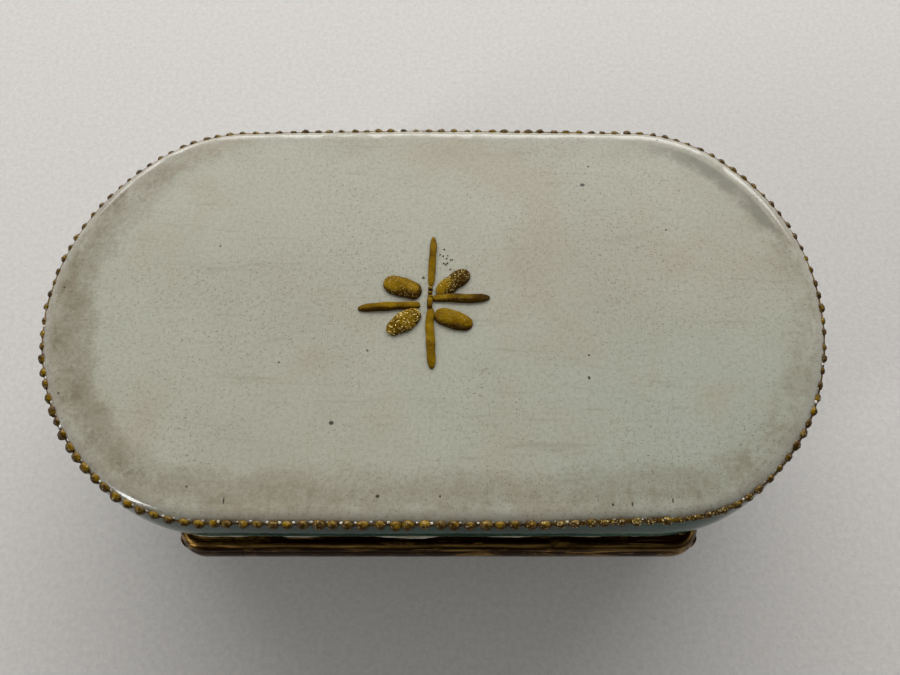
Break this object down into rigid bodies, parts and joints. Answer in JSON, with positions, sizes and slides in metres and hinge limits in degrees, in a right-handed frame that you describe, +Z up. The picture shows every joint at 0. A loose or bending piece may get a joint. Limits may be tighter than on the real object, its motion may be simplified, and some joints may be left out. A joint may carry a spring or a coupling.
{
  "type": "porcelain trinket box",
  "caption": "Low porcelain box with rounded ends, a hinged lid on brass rims, beaded edges and a small raised gold motif, for jewellery and trinkets.",
  "frame": {"origin": "centre of the flat underside of the base, on the plane that the box stands on", "axes": "+Z up, +X along the box's length, -Y out of the front with the thumb piece, +Y out of the back with the hinge"},
  "size_m": [0.0822, 0.0488, 0.028],
  "materials": {
    "porcelain": "gloss",
    "gilt_paste": "satin",
    "plaster": "matte",
    "brass": "polished"
  },
  "bodies": {
    "base": {"base_shell": "porcelain", "base_bead_border": "gilt_paste", "base_bedding": "plaster", "base_rim_band": "brass", "base_gallery": "brass", "base_joint_bearer": "brass", "base_hinge_knuckle_1": "brass", "base_hinge_knuckle_2": "brass", "base_hinge_knuckle_3": "brass", "base_hinge_knuckle_4": "brass", "hinge_pin": "brass"},
    "lid": {"lid_shell": "porcelain", "lid_bead_border": "gilt_paste", "lid_motif_strokes": "gilt_paste", "lid_motif_petals": "gilt_paste", "lid_bedding": "plaster", "lid_rim_band": "brass", "lid_joint_bearer": "brass", "lid_hinge_knuckle_1": "brass", "lid_hinge_knuckle_2": "brass", "lid_hinge_knuckle_3": "brass", "lid_thumb_piece": "brass"}
  },
  "joints": [
    {"name": "lid_hinge", "type": "hinge", "parent": "base", "child": "lid", "pos_m": [0, 0.02295, 0.02], "axis": [-1, 0, 0], "range_deg": [0, 105]}
  ]
}
